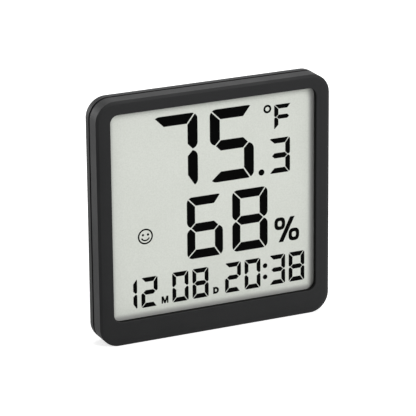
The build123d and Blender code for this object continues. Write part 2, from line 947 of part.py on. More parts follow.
# Clock crystal: a can that lies on the board, with two leads
with BuildPart() as clock_crystal:
    can_y = front_y + board_back + crystal_radius
    with BuildSketch(Plane.YZ.offset(crystal_place[0])) as can:
        with Locations((can_y, crystal_place[1])):
            Circle(crystal_radius)
    extrude(can.sketch, amount=crystal_length)
    fillet(clock_crystal.edges(), radius=crystal_lead_radius)
    with BuildSketch(Plane.YZ.offset(crystal_place[0])) as leads:
        with Locations((can_y, crystal_place[1])):
            with GridLocations(crystal_radius, crystal_radius, 1, 2):
                Circle(crystal_lead_radius)
    extrude(leads.sketch, amount=-crystal_lead_length)
finish(clock_crystal, "clock_crystal")

# Temperature and humidity sensor with its port
with BuildPart() as humidity_sensor:
    slab(
        lambda: box_outline(
            sensor_side - sensor_size / 2,
            sensor_side + sensor_size / 2,
            sensor_place[1] - sensor_size / 2,
            sensor_place[1] + sensor_size / 2,
        ),
        board_back,
        board_back + sensor_thickness,
    )
    slab(
        lambda: circles([sensor_place], sensor_port_radius),
        board_back + sensor_thickness - sensor_port_depth,
        board_back + sensor_thickness + overrun,
        Mode.SUBTRACT,
    )
finish(humidity_sensor, "humidity_sensor")

with BuildPart() as chip_capacitors:
    with BuildSketch(at_depth(board_back + capacitor_height)) as capacitors:
        with Locations(*[on_board(shares) for shares in capacitor_place_shares]):
            Rectangle(chip_part_length, chip_part_width)
    extrude(capacitors.sketch, amount=capacitor_height)
finish(chip_capacitors, "chip_capacitors")

with BuildPart() as chip_resistors:
    with BuildSketch(at_depth(board_back + resistor_height)) as resistors:
        with Locations(*[on_board(shares) for shares in resistor_place_shares]):
            Rectangle(chip_part_width, chip_part_length)
    extrude(resistors.sketch, amount=resistor_height)
finish(chip_resistors, "chip_resistors")

# Tact switches, whose plungers move with the buttons
with BuildPart() as switch_bodies:
    with BuildSketch(at_depth(board_back + switch_height)) as switches:
        with Locations(*button_places):
            RectangleRounded(switch_side, switch_side, switch_corner_radius)
            Circle(plunger_radius + plunger_bore_clearance, mode=Mode.SUBTRACT)
    extrude(switches.sketch, amount=switch_height)
finish(switch_bodies, "switch_bodies")

switch_top = board_back + switch_height
plunger_top = switch_top + plunger_rise
flange_back = back_inner - flange_gap
for button_name, plunger_name, place in zip(button_names, plunger_names, button_places):
    with BuildPart() as plunger:
        slab(lambda: circles([place], plunger_radius), switch_top - plunger_sink, plunger_top)
    finish(plunger, plunger_name)
    with BuildPart() as button:
        slab(lambda: circles([place], button_radius), flange_back, back_depth + button_rise)
        fillet(button.edges().group_by(Axis.Y)[-1], radius=button_edge_radius)
        slab(lambda: circles([place], flange_radius), flange_back - flange_thickness, flange_back)
        slab(lambda: circles([place], button_stem_radius), plunger_top, flange_back - flange_thickness)
        dish_radius = (button_dish_radius**2 + button_dish_depth**2) / (2 * button_dish_depth)
        dish_depth = back_depth + button_rise - button_dish_depth + dish_radius
        with Locations((place[0], front_y + dish_depth, place[1])):
            Sphere(dish_radius, mode=Mode.SUBTRACT)
    finish(button, button_name)

# Two cells side by side, with their positive ends at opposite walls
for cell_name, side, height in (
    ("lower_cell", -1, lower_cell_height),
    ("upper_cell", 1, upper_cell_height),
):
    positive_end = side * (box_half - plate_room)
    shoulder_end = positive_end - side * cell_nub_length
    flat_end = positive_end - side * cell_length
    with BuildPart() as cell:
        with BuildSketch(Plane.YZ.offset(flat_end)) as can:
            with Locations((front_y + cell_axis_depth, height)):
                Circle(cell_radius)
        extrude(can.sketch, amount=shoulder_end - flat_end)
        fillet(cell.edges().filter_by(GeomType.CIRCLE), radius=cell_edge_radius)
        with BuildSketch(Plane.YZ.offset(shoulder_end)) as nub:
            with Locations((front_y + cell_axis_depth, height)):
                Circle(cell_nub_radius)
        extrude(nub.sketch, amount=positive_end - shoulder_end)
    finish(cell, cell_name)

# Contact plates at the ends of the battery box
plate_outer = box_half - contact_inset
plate_inner = plate_outer - contact_thickness


def contact_plate(side, bottom, top):
    with BuildSketch(Plane.YZ.offset(side * plate_inner)) as plate:
        with Locations((front_y + cell_axis_depth, (bottom + top) / 2)):
            RectangleRounded(contact_plate_width, top - bottom, contact_dimple_radius)
    extrude(plate.sketch, amount=side * contact_thickness)


def contact_dimple(side, height):
    with BuildSketch(Plane.YZ.offset(side * plate_inner)) as base:
        with Locations((front_y + cell_axis_depth, height)):
            Circle(contact_dimple_radius)
    with BuildSketch(Plane.YZ.offset(side * (plate_inner - contact_dimple_rise))) as crown:
        with Locations((front_y + cell_axis_depth, height)):
            Circle(contact_dimple_radius / 2)
    loft([base.sketch, crown.sketch], ruled=True)


def contact_tail(height):
    low = height - contact_tail_width / 2
    high = height + contact_tail_width / 2
    slab(
        lambda: box_outline(plate_inner, arm_left + contact_tail_reach, low, high),
        board_back,
        board_back + contact_tail_thickness,
    )


half_plate = contact_plate_width / 2
with BuildPart() as contact_bridge:
    contact_plate(-1, lower_cell_height - half_plate, upper_cell_height + half_plate)
    contact_dimple(-1, lower_cell_height)
finish(contact_bridge, "contact_bridge")

with BuildPart() as contact_positive:
    contact_plate(1, upper_cell_height - half_plate, upper_cell_height + half_plate)
    contact_dimple(1, upper_cell_height)
    contact_tail(upper_cell_height)
finish(contact_positive, "contact_positive")

with BuildPart() as contact_negative:
    contact_plate(1, lower_cell_height - half_plate, lower_cell_height + half_plate)
    contact_tail(lower_cell_height)
finish(contact_negative, "contact_negative")

# Conical springs that press on the flat ends of the cells: quarter turns, each tangent to the last
spring_length = spring_room - contact_inset - contact_thickness - 2 * (spring_wire_radius + spring_seat_gap)


def coil_point(side, height, quarter):
    share = quarter / spring_quarter_turns
    radius = spring_base_radius + (spring_tip_radius - spring_base_radius) * share
    angle = quarter * math.pi / 2
    start = plate_inner - spring_wire_radius - spring_seat_gap
    return (
        side * (start - spring_length * share),
        front_y + cell_axis_depth + radius * math.cos(angle),
        height + radius * math.sin(angle),
    )


with BuildPart() as contact_springs:
    for side, height in ((-1, upper_cell_height), (1, lower_cell_height)):
        with BuildLine() as coil:
            first = coil_point(side, height, 0)
            climb = spring_length / spring_quarter_turns / (math.pi / 2)
            heading = Vector(-side * climb, 0, spring_base_radius)
            for quarter in range(spring_quarter_turns):
                arc = TangentArc(
                    coil_point(side, height, quarter), coil_point(side, height, quarter + 1), tangent=heading
                )
                heading = arc % 1
        with BuildSketch(Plane(origin=first, z_dir=coil.line % 0)) as wire:
            Circle(spring_wire_radius)
        sweep(wire.sketch, path=coil.line)
finish(contact_springs, "contact_springs")
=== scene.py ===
import math

import bpy
from mathutils import Matrix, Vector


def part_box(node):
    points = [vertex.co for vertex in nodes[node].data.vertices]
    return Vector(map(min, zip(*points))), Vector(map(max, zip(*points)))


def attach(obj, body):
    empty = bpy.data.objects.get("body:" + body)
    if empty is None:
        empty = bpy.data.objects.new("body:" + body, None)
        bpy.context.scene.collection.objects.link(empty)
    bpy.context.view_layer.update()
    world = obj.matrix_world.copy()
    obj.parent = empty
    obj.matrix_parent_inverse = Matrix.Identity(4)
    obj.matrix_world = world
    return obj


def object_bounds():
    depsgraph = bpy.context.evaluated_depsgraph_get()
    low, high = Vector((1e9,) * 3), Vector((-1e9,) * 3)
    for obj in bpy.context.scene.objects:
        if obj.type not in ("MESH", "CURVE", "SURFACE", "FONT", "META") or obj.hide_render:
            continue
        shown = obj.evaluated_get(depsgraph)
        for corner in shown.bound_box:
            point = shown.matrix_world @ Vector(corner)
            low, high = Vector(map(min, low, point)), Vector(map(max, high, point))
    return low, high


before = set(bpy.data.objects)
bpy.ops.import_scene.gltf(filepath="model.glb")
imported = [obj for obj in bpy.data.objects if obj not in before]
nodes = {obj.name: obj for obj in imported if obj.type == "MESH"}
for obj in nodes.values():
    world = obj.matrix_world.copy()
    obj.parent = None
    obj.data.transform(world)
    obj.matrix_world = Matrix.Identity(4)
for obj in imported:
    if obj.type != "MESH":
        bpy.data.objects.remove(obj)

# Room temperature and humidity instrument: a charcoal case round a large segment display.
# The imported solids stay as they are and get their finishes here. The display's picture and
# the small raised marks on the back are modelled here and ride on the housing.
# Lengths in the dictionaries are millimetres, and metres in those of the stage and the lamps.

perMetre = 1000  # millimetres in a metre
cadLow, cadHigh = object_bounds()
print("frame loaded:", len(nodes), "nodes")


def metres(*values):
    return tuple(value / perMetre for value in values)


def boxOf(name):
    # lowest and highest corner of a node, in millimetres
    low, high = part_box(name)
    return low * perMetre, high * perMetre


# The directions are the picture's right, its up and the way from the object to the camera.
camera = {
    "place": (-431.145, -941.872, 396.754),
    "right": (0.90765855, -0.41961399, -0.00894771),
    "up": (0.14184279, 0.28661336, 0.94748794),
    "back": (-0.39501466, -0.8612647, 0.31966629),
    "lens": 243.9,
    "sensor": 36.0,
    "clips": (10, 60000),
}


def makeCamera(spec):
    data = bpy.data.cameras.new("photoView")
    data.lens = spec["lens"]
    data.sensor_width = spec["sensor"]
    data.clip_start, data.clip_end = metres(*spec["clips"])
    eye = bpy.data.objects.new("photoView", data)
    bpy.context.scene.collection.objects.link(eye)
    axes = Matrix((spec["right"], spec["up"], spec["back"])).transposed().to_4x4()
    eye.matrix_world = Matrix.Translation(metres(*spec["place"])) @ axes
    bpy.context.scene.camera = eye


makeCamera(camera)
print("camera placed")


# Helpers for the finishes. A value that is the same all over goes on the shader itself.
# Noise rarely leaves noiseSpan, and a mottle of two noises rarely leaves mottleSpan, so the
# ramps run between these ends.
noiseSpan = (0.3, 0.7)
mottleSpan = (0.35, 0.65)
fineDetail = 3.0

# a mix node's sockets, by number because several share a name
mixSockets = {"share": 0, "first": 6, "second": 7, "mixed": 2}


def addNode(tree, kind, settings, inputs):
    made = tree.nodes.new(kind)
    for name, value in settings.items():
        setattr(made, name, value)
    for name, value in inputs.items():
        if isinstance(value, bpy.types.NodeSocket):
            tree.links.new(value, made.inputs[name])
        else:
            made.inputs[name].default_value = value
    return made


def calc(tree, operation, *values):
    inputs = dict(enumerate(values))
    return addNode(tree, "ShaderNodeMath", {"operation": operation}, inputs).outputs[0]


def ramp(tree, value, fromLow, fromHigh, toLow, toHigh, smooth=False):
    kind = "SMOOTHSTEP" if smooth else "LINEAR"
    inputs = {
        "Value": value,
        "From Min": fromLow,
        "From Max": fromHigh,
        "To Min": toLow,
        "To Max": toHigh,
    }
    settings = {"interpolation_type": kind}
    return addNode(tree, "ShaderNodeMapRange", settings, inputs).outputs["Result"]


def alongAxes(tree, place):
    return addNode(tree, "ShaderNodeSeparateXYZ", {}, {0: place}).outputs


def blendColours(tree, share, first, second):
    inputs = {mixSockets["share"]: share}
    for side, colour in (("first", first), ("second", second)):
        plain = not isinstance(colour, bpy.types.NodeSocket)
        inputs[mixSockets[side]] = (*colour, 1) if plain else colour
    mixer = addNode(tree, "ShaderNodeMix", {"data_type": "RGBA"}, inputs)
    return mixer.outputs[mixSockets["mixed"]]


def grain(tree, place, size, detail=2.0, stretch=(1, 1, 1)):
    # noise whose features are about as large as size, in millimetres
    spread = addNode(tree, "ShaderNodeMapping", {}, {"Vector": place, "Scale": stretch}).outputs[0]
    inputs = {"Vector": spread, "Scale": perMetre / size, "Detail": detail}
    return addNode(tree, "ShaderNodeTexNoise", {}, inputs).outputs[0]


def cellNoise(tree, place, size, feature="F1", randomness=1.0):
    # distances in a pattern of cells about as large as size, in millimetres
    inputs = {"Vector": place, "Scale": perMetre / size, "Randomness": randomness}
    return addNode(tree, "ShaderNodeTexVoronoi", {"feature": feature}, inputs).outputs["Distance"]


def mottled(tree, first, second, firstShare):
    # two noises weighed against each other and spread over 0 to 1
    firstPart = calc(tree, "MULTIPLY", first, firstShare)
    secondPart = calc(tree, "MULTIPLY", second, 1 - firstShare)
    return ramp(tree, calc(tree, "ADD", firstPart, secondPart), *mottleSpan, 0, 1)


def bumpInto(tree, shader, height, depth, strength=1.0, under=None):
    inputs = {"Height": height, "Distance": depth / perMetre, "Strength": strength}
    if under is not None:
        inputs["Normal"] = under
    bump = addNode(tree, "ShaderNodeBump", {}, inputs).outputs[0]
    tree.links.new(bump, shader.inputs["Normal"])
    return bump


def startFinish(name, look):
    material = bpy.data.materials.new(name)
    material.use_nodes = True
    tree = material.node_tree
    shader = tree.nodes["Principled BSDF"]
    for socket, value in look.items():
        shader.inputs[socket].default_value = value
    place = tree.nodes.new("ShaderNodeTexCoord").outputs["Object"]
    return material, tree, shader, place


def dress(material, *names):
    for name in names:
        data = nodes[name].data
        data.materials.clear()
        data.materials.append(material)


# Moulded plastics: fine tool texture, faint clouding in colour and in gloss. What all moulds
# share is here, and each piece's own look stands further down.
mouldTexture = {"cloudShare": 0.6, "speckBump": 0.6}


def mouldedPlastic(name, spec):
    material, tree, shader, place = startFinish(name, {"Specular IOR Level": spec["specular"]})
    cloud = grain(tree, place, spec["cloudSize"])
    speck = grain(tree, place, spec["speckSize"], fineDetail)
    share = mottled(tree, cloud, speck, mouldTexture["cloudShare"])
    colour = blendColours(tree, share, spec["dark"], spec["light"])
    tree.links.new(colour, shader.inputs["Base Color"])
    rough = ramp(tree, cloud, *noiseSpan, *spec["roughness"])
    tree.links.new(rough, shader.inputs["Roughness"])
    pits = cellNoise(tree, place, spec["pitSize"])
    first = bumpInto(tree, shader, pits, spec["pitDepth"])
    bumpInto(tree, shader, speck, spec["pitDepth"], mouldTexture["speckBump"], first)
    return material


# Case: charcoal plastic with a fine spark-eroded texture
caseShell = {
    "dark": (0.0155, 0.0158, 0.0164),
    "light": (0.0185, 0.0188, 0.0194),
    "specular": 0.15,
    "roughness": (0.46, 0.56),
    "cloudSize": 14,
    "speckSize": 0.5,
    "pitSize": 0.22,
    "pitDepth": 0.012,
}
dress(mouldedPlastic("caseCharcoal", caseShell), "rear_cover")

# The front shell is as the rear one, but the lip's inner wall round the window is dull and has
# painted shade: a darker colour that stands in for the shade in the recess. The window's edges
# are at half to each side, at foot and at head. The painted shade fades in over the depths behind
# the face and ends at the reach past the edges.
windowWall = {
    "half": 43.15,
    "foot": 9.7,
    "head": 92.65,
    "reach": 0.5,
    "depths": (0.1, 0.25),
    # colour of the painted shade on the lip's inner wall
    "colour": (0.005, 0.005, 0.005),
    "roughness": 0.95,
}


def makeBezelFinishAndShade(spec):
    material = mouldedPlastic("bezelCharcoal", caseShell)
    tree = material.node_tree
    shader = tree.nodes["Principled BSDF"]
    place = tree.nodes.new("ShaderNodeTexCoord").outputs["Object"]
    across, ahead, upward = alongAxes(tree, place)
    pastSide = calc(tree, "SUBTRACT", calc(tree, "ABSOLUTE", across), spec["half"] / perMetre)
    pastFoot = calc(tree, "SUBTRACT", spec["foot"] / perMetre, upward)
    pastHead = calc(tree, "SUBTRACT", upward, spec["head"] / perMetre)
    past = calc(tree, "MAXIMUM", pastSide, calc(tree, "MAXIMUM", pastFoot, pastHead))
    near = calc(tree, "LESS_THAN", past, spec["reach"] / perMetre)
    start, end = (cadLow.y + depth / perMetre for depth in spec["depths"])
    # onWall masks the painted shade and the duller roughness on the lip's inner wall
    onWall = calc(tree, "MULTIPLY", near, ramp(tree, ahead, start, end, 0, 1))
    colour = shader.inputs["Base Color"].links[0].from_socket
    wallPaintedShade = blendColours(tree, onWall, colour, spec["colour"])
    tree.links.new(wallPaintedShade, shader.inputs["Base Color"])
    rough = shader.inputs["Roughness"].links[0].from_socket
    wallRough = ramp(tree, onWall, 0, 1, rough, spec["roughness"])
    tree.links.new(wallRough, shader.inputs["Roughness"])
    return material


dress(makeBezelFinishAndShade(windowWall), "front_bezel")

# The door and the stand come from other moulds, a shade apart from the case.
looseParts = dict(
    caseShell,
    dark=(0.0168, 0.017, 0.0175),
    light=(0.0205, 0.0208, 0.0214),
    speckSize=0.42,
)
dress(mouldedPlastic("loosePartCharcoal", looseParts), "battery_door", "stand_leg")

pushButtons = {
    "dark": (0.022, 0.022, 0.023),
    "light": (0.027, 0.027, 0.028),
    "specular": 0.4,
    "roughness": (0.34, 0.42),
    "cloudSize": 5,
    "speckSize": 0.3,
    "pitSize": 0.3,
    "pitDepth": 0.004,
}
dress(mouldedPlastic("buttonSatin", pushButtons), "down_button", "up_button", "set_button")

innerFrame = {
    "dark": (0.60, 0.60, 0.57),
    "light": (0.66, 0.66, 0.63),
    "specular": 0.5,
    "roughness": (0.38, 0.48),
    "cloudSize": 9,
    "speckSize": 0.6,
    "pitSize": 0.4,
    "pitDepth": 0.004,
}
dress(mouldedPlastic("holderWhite", innerFrame), "display_holder")

switchPlungers = dict(pushButtons, dark=(0.012, 0.012, 0.012), light=(0.02, 0.02, 0.02))
plungerBlack = mouldedPlastic("plungerBlack", switchPlungers)
dress(plungerBlack, "down_plunger", "up_plunger", "set_plunger")
print("case finishes done")


# Display film: a pale grey-green satin film, dimmer where the lip shades its edge. Each side's
# shade starts so far inside the film's edge and is so wide.
displayFilm = {
    "pale": (0.641, 0.665, 0.611),
    "paler": (0.706, 0.73, 0.676),
    "shade": (0.40, 0.407, 0.39),
    "shadeRuns": {
        "left": (1.35, 2.3),
        "right": (1.9, 2.3),
        "foot": (1.6, 2.3),
        "head": (1.35, 1.3),
    },
    "specular": 0.3,
    "roughness": (0.36, 0.44),
    "fibreSize": 0.6,
    "fibreShare": 0.7,
    "fibreDepth": 0.002,
    "cloudSize": 22,
}


def makeDisplayFilm(spec):
    look = {"Specular IOR Level": spec["specular"]}
    material, tree, shader, place = startFinish("displayFilm", look)
    low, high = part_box("front_polariser")
    across, _, upward = alongAxes(tree, place)
    fromEdges = {
        "left": calc(tree, "SUBTRACT", across, low.x),
        "right": calc(tree, "SUBTRACT", high.x, across),
        "foot": calc(tree, "SUBTRACT", upward, low.z),
        "head": calc(tree, "SUBTRACT", high.z, upward),
    }
    nearest = 1.0
    for side, (start, width) in spec["shadeRuns"].items():
        clear = ramp(tree, fromEdges[side], *metres(start, start + width), 0, 1)
        nearest = calc(tree, "MINIMUM", nearest, clear)
    unshaded = ramp(tree, nearest, 0, 1, 0, 1, smooth=True)
    fibre = grain(tree, place, spec["fibreSize"], fineDetail)
    cloud = grain(tree, place, spec["cloudSize"])
    mottle = mottled(tree, fibre, cloud, spec["fibreShare"])
    film = blendColours(tree, mottle, spec["pale"], spec["paler"])
    colour = blendColours(tree, unshaded, spec["shade"], film)
    tree.links.new(colour, shader.inputs["Base Color"])
    rough = ramp(tree, fibre, *noiseSpan, *spec["roughness"])
    tree.links.new(rough, shader.inputs["Roughness"])
    bumpInto(tree, shader, fibre, spec["fibreDepth"])
    return material


dress(makeDisplayFilm(displayFilm), "front_polariser")


# Glass, gasket, board and chips, which the case mostly hides
displayGlass = {
    "colour": (0.86, 0.91, 0.88),
    "roughness": 0.03,
    "refraction": 1.52,
    "transmission": 0.85,
    "rippleSize": 12,
    "rippleDepth": 0.002,
    "rippleBump": 0.4,
}


def makeGlass(spec):
    look = {
        "Base Color": (*spec["colour"], 1),
        "Roughness": spec["roughness"],
        "IOR": spec["refraction"],
        "Transmission Weight": spec["transmission"],
    }
    material, tree, shader, place = startFinish("displayGlass", look)
    ripple = grain(tree, place, spec["rippleSize"])
    bumpInto(tree, shader, ripple, spec["rippleDepth"], spec["rippleBump"])
    return material


gasketFoam = {
    "dark": (0.006, 0.006, 0.006),
    "light": (0.03, 0.03, 0.031),
    "roughness": 0.95,
    "cellSize": 0.3125,
    "cellSpan": (0.1, 0.7),
    "cellDepth": 0.08,
}


def makeFoam(spec):
    material, tree, shader, place = startFinish("gasketFoam", {"Roughness": spec["roughness"]})
    cells = cellNoise(tree, place, spec["cellSize"])
    share = ramp(tree, cells, *spec["cellSpan"], 0, 1)
    colour = blendColours(tree, share, spec["dark"], spec["light"])
    tree.links.new(colour, shader.inputs["Base Color"])
    bumpInto(tree, shader, cells, spec["cellDepth"])
    return material


stripedRubber = {
    "dark": (0.02, 0.02, 0.02),
    "light": (0.42, 0.36, 0.34),
    "roughness": 0.6,
    "pitch": 0.36,
    "stripeSpan": (-0.2, 0.2),
    "grainSize": 0.5,
    "grainDepth": 0.01,
}


def makeStripedRubber(spec):
    material, tree, shader, place = startFinish("stripedRubber", {"Roughness": spec["roughness"]})
    across, _, _ = alongAxes(tree, place)
    turns = calc(tree, "MULTIPLY", across, 2 * math.pi * perMetre / spec["pitch"])
    share = ramp(tree, calc(tree, "SINE", turns), *spec["stripeSpan"], 0, 1)
    colour = blendColours(tree, share, spec["dark"], spec["light"])
    tree.links.new(colour, shader.inputs["Base Color"])
    bumpInto(tree, shader, grain(tree, place, spec["grainSize"]), spec["grainDepth"])
    return material


board = {
    "mask": (0.012, 0.085, 0.035),
    "maskLift": 1.35,
    "trace": (0.03, 0.17, 0.07),
    "traceCell": 2.6,
    "traceSpan": (0.07, 0.1),
    "traceRandomness": 0.75,
    "traceDepth": 0.03,
    "hazeSize": 4,
    "roughness": 0.32,
    "coat": 0.4,
    "coatRoughness": 0.12,
}


def makeBoard(spec):
    look = {
        "Roughness": spec["roughness"],
        "Coat Weight": spec["coat"],
        "Coat Roughness": spec["coatRoughness"],
    }
    material, tree, shader, place = startFinish("solderMask", look)
    flow = cellNoise(tree, place, spec["traceCell"], "DISTANCE_TO_EDGE", spec["traceRandomness"])
    track = ramp(tree, flow, *spec["traceSpan"], 1, 0)
    lifted = tuple(spec["maskLift"] * part for part in spec["mask"])
    mask = blendColours(tree, grain(tree, place, spec["hazeSize"]), spec["mask"], lifted)
    colour = blendColours(tree, track, mask, spec["trace"])
    tree.links.new(colour, shader.inputs["Base Color"])
    bumpInto(tree, shader, track, spec["traceDepth"])
    return material


chipResin = {
    "colour": (0.006, 0.006, 0.0065),
    "coat": 0.5,
    "coatRoughness": 0.08,
    "roughness": (0.14, 0.26),
    "rippleSize": 3.5,
    "rippleDepth": 0.06,
}


def makeResin(spec):
    look = {
        "Base Color": (*spec["colour"], 1),
        "Coat Weight": spec["coat"],
        "Coat Roughness": spec["coatRoughness"],
    }
    material, tree, shader, place = startFinish("chipResin", look)
    ripple = grain(tree, place, spec["rippleSize"])
    rough = ramp(tree, ripple, *noiseSpan, *spec["roughness"])
    tree.links.new(rough, shader.inputs["Roughness"])
    bumpInto(tree, shader, ripple, spec["rippleDepth"])
    return material


ceramicGrain = {"roughness": 0.5, "speckSize": 0.18, "speckDetail": 4.0, "speckDepth": 0.01}
ceramics = {
    "capacitorCeramic": {
        "node": "chip_capacitors",
        "dark": (0.30, 0.20, 0.12),
        "light": (0.40, 0.28, 0.17),
    },
    "resistorCeramic": {
        "node": "chip_resistors",
        "dark": (0.012, 0.012, 0.012),
        "light": (0.03, 0.03, 0.03),
    },
    "sensorCase": {
        "node": "humidity_sensor",
        "dark": (0.02, 0.02, 0.021),
        "light": (0.035, 0.035, 0.036),
    },
}


def makeCeramic(name, spec, texture):
    material, tree, shader, place = startFinish(name, {"Roughness": texture["roughness"]})
    speck = grain(tree, place, texture["speckSize"], texture["speckDetail"])
    share = ramp(tree, speck, *mottleSpan, 0, 1)
    colour = blendColours(tree, share, spec["dark"], spec["light"])
    tree.links.new(colour, shader.inputs["Base Color"])
    bumpInto(tree, shader, speck, texture["speckDepth"])
    return material


dress(makeGlass(displayGlass), "front_glass", "rear_glass")
dress(makeFoam(gasketFoam), "display_gasket")
dress(makeStripedRubber(stripedRubber), "zebra_connector")
dress(makeBoard(board), "main_board")
dress(makeResin(chipResin), "driver_chip")
for ceramicName, ceramicSpec in ceramics.items():
    dress(makeCeramic(ceramicName, ceramicSpec, ceramicGrain), ceramicSpec["node"])

# Rolled or plated metals: fine lines along one way and a few duller patches
metals = {
    "reflectorFilm": {
        "nodes": ("rear_reflector",),
        "dark": (0.60, 0.61, 0.58),
        "light": (0.70, 0.71, 0.68),
        "roughness": (0.3, 0.45),
        "lineSize": 0.2,
        "lineDepth": 0.003,
        "cloudSize": 12,
        "stretch": (0.05, 1, 1),
    },
    "platedContacts": {
        "nodes": ("contact_bridge", "contact_positive", "contact_negative", "contact_springs"),
        "dark": (0.56, 0.55, 0.52),
        "light": (0.68, 0.67, 0.64),
        "roughness": (0.2, 0.34),
        "lineSize": 0.25,
        "lineDepth": 0.003,
        "cloudSize": 2.5,
        "stretch": (1, 0.08, 1),
    },
    "zincScrews": {
        "nodes": ("housing_screws", "board_screws"),
        "dark": (0.30, 0.30, 0.31),
        "light": (0.44, 0.44, 0.45),
        "roughness": (0.28, 0.44),
        "lineSize": 0.3,
        "lineDepth": 0.006,
        "cloudSize": 1.2,
        "stretch": (1, 1, 0.2),
    },
    "switchSheet": {
        "nodes": ("switch_bodies",),
        "dark": (0.46, 0.46, 0.44),
        "light": (0.58, 0.58, 0.56),
        "roughness": (0.24, 0.38),
        "lineSize": 0.22,
        "lineDepth": 0.003,
        "cloudSize": 2,
        "stretch": (0.1, 1, 1),
    },
    "crystalCan": {
        "nodes": ("clock_crystal",),
        "dark": (0.58, 0.58, 0.56),
        "light": (0.70, 0.70, 0.68),
        "roughness": (0.16, 0.28),
        "lineSize": 0.2,
        "lineDepth": 0.002,
        "cloudSize": 1.5,
        "stretch": (0.08, 1, 1),
    },
}


def metalFinish(name, spec):
    material, tree, shader, place = startFinish(name, {"Metallic": 1.0})
    lines = grain(tree, place, spec["lineSize"], fineDetail, spec["stretch"])
    share = ramp(tree, grain(tree, place, spec["cloudSize"]), *noiseSpan, 0, 1)
    colour = blendColours(tree, share, spec["dark"], spec["light"])
    tree.links.new(colour, shader.inputs["Base Color"])
    rough = ramp(tree, lines, *noiseSpan, *spec["roughness"])
    tree.links.new(rough, shader.inputs["Roughness"])
    bumpInto(tree, shader, lines, spec["lineDepth"])
    return material


for metalName, metalSpec in metals.items():
    dress(metalFinish(metalName, metalSpec), *metalSpec["nodes"])
print("inner finishes done")


# Cells: a printed sleeve between bare steel ends, with a plain polarity mark. The nub is at
# the end that plusSide names, -1 for left and 1 for right.
cells = {
    "sleeve": (0.012, 0.03, 0.075),
    "sleeveLight": (0.02, 0.05, 0.11),
    "band": (0.48, 0.24, 0.06),
    "steel": (0.55, 0.55, 0.54),
    "markColour": (0.02, 0.02, 0.02),
    "coat": 0.35,
    "metallic": (0.35, 1),
    "roughness": (0.24, 0.34),
    "foilSize": 6,
    "bandLength": 11.0,
    "endRim": 0.7,
    "endStep": 0.08,
    "nubReach": 0.8,
    "markInset": 5.5,
    "markHalf": 1.3,
    "markStroke": 0.28,
    "plusSide": {"lower_cell": -1, "upper_cell": 1},
}


def makeCellFinish(name, spec):
    material, tree, shader, place = startFinish(name + "Sleeve", {"Coat Weight": spec["coat"]})
    low, high = boxOf(name)
    axisDepth, axisHeight = metres((low.y + high.y) / 2, (low.z + high.z) / 2)
    plus = spec["plusSide"][name]
    plusEnd, minusEnd = (high.x, low.x) if plus > 0 else (low.x, high.x)
    across, depth, upward = alongAxes(tree, place)
    pastPlus = calc(tree, "SUBTRACT", across, plusEnd / perMetre)
    pastMinus = calc(tree, "SUBTRACT", across, minusEnd / perMetre)
    fromPlus = calc(tree, "MULTIPLY", pastPlus, -plus * perMetre)
    fromMinus = calc(tree, "MULTIPLY", pastMinus, plus * perMetre)
    inBand = calc(tree, "LESS_THAN", fromPlus, spec["bandLength"] + spec["nubReach"])
    foil = ramp(tree, grain(tree, place, spec["foilSize"]), *mottleSpan, 0, 1)
    printed = blendColours(tree, foil, spec["sleeve"], spec["sleeveLight"])
    printed = blendColours(tree, inBand, printed, spec["band"])
    # plus sign on the side that shows when the door is open
    alongMark = calc(tree, "ABSOLUTE", calc(tree, "SUBTRACT", fromPlus, spec["markInset"]))
    fromAxis = calc(tree, "ABSOLUTE", calc(tree, "SUBTRACT", upward, axisHeight))
    upMark = calc(tree, "MULTIPLY", fromAxis, perMetre)
    strokes = []
    for first, second in ((alongMark, upMark), (upMark, alongMark)):
        within = calc(tree, "LESS_THAN", first, spec["markHalf"])
        thin = calc(tree, "LESS_THAN", second, spec["markStroke"])
        strokes.append(calc(tree, "MULTIPLY", within, thin))
    behind = calc(tree, "GREATER_THAN", depth, axisDepth)
    mark = calc(tree, "MULTIPLY", calc(tree, "MAXIMUM", *strokes), behind)
    printed = blendColours(tree, mark, printed, spec["markColour"])
    barePlus = calc(tree, "LESS_THAN", fromPlus, spec["endRim"] + spec["nubReach"])
    bareMinus = calc(tree, "LESS_THAN", fromMinus, spec["endRim"])
    bare = calc(tree, "MAXIMUM", barePlus, bareMinus)
    colour = blendColours(tree, bare, printed, spec["steel"])
    tree.links.new(colour, shader.inputs["Base Color"])
    tree.links.new(ramp(tree, bare, 0, 1, *spec["metallic"]), shader.inputs["Metallic"])
    tree.links.new(ramp(tree, foil, 0, 1, *spec["roughness"]), shader.inputs["Roughness"])
    bumpInto(tree, shader, calc(tree, "SUBTRACT", 1, bare), spec["endStep"])
    return material


for cellName in cells["plusSide"]:
    dress(makeCellFinish(cellName, cells), cellName)
print("cells done")


# Outlines of the display's picture, as seen from the front: (x, z) in millimetres
def clip(points, nx, nz, limit):
    # the part of a convex outline where nx * x + nz * z is at least the limit
    kept = []
    for index, here in enumerate(points):
        before = points[index - 1]
        hereOver = nx * here[0] + nz * here[1] - limit
        beforeOver = nx * before[0] + nz * before[1] - limit
        if (hereOver >= 0) != (beforeOver >= 0):
            share = beforeOver / (beforeOver - hereOver)
            kept.append(tuple(b + (h - b) * share for b, h in zip(before, here)))
        if hereOver >= 0:
            kept.append(here)
    return kept


def roundedBox(left, right, bottom, top, radius, steps=7):
    # each corner has its centre and the angle at which its arc starts
    points = []
    corners = (
        (right - radius, bottom + radius, -90),
        (right - radius, top - radius, 0),
        (left + radius, top - radius, 90),
        (left + radius, bottom + radius, 180),
    )
    for x, z, start in corners:
        for step in range(steps + 1):
            angle = math.radians(start + 90 * step / steps)
            points.append((x + radius * math.cos(angle), z + radius * math.sin(angle)))
    return points


def besideLine(points, through, degrees, side, gap):
    # keeps what lies on one side of a slanting line, half a gap away from it
    nx = -math.sin(math.radians(degrees)) * side
    nz = math.cos(math.radians(degrees)) * side
    return clip(points, nx, nz, nx * through[0] + nz * through[1] + gap / 2)


# The gaps beside the middle segment slant by this many degrees from level. A size's slants are
# those of its corner gaps: top left, top right, foot left and foot right.
middleSlant = 45

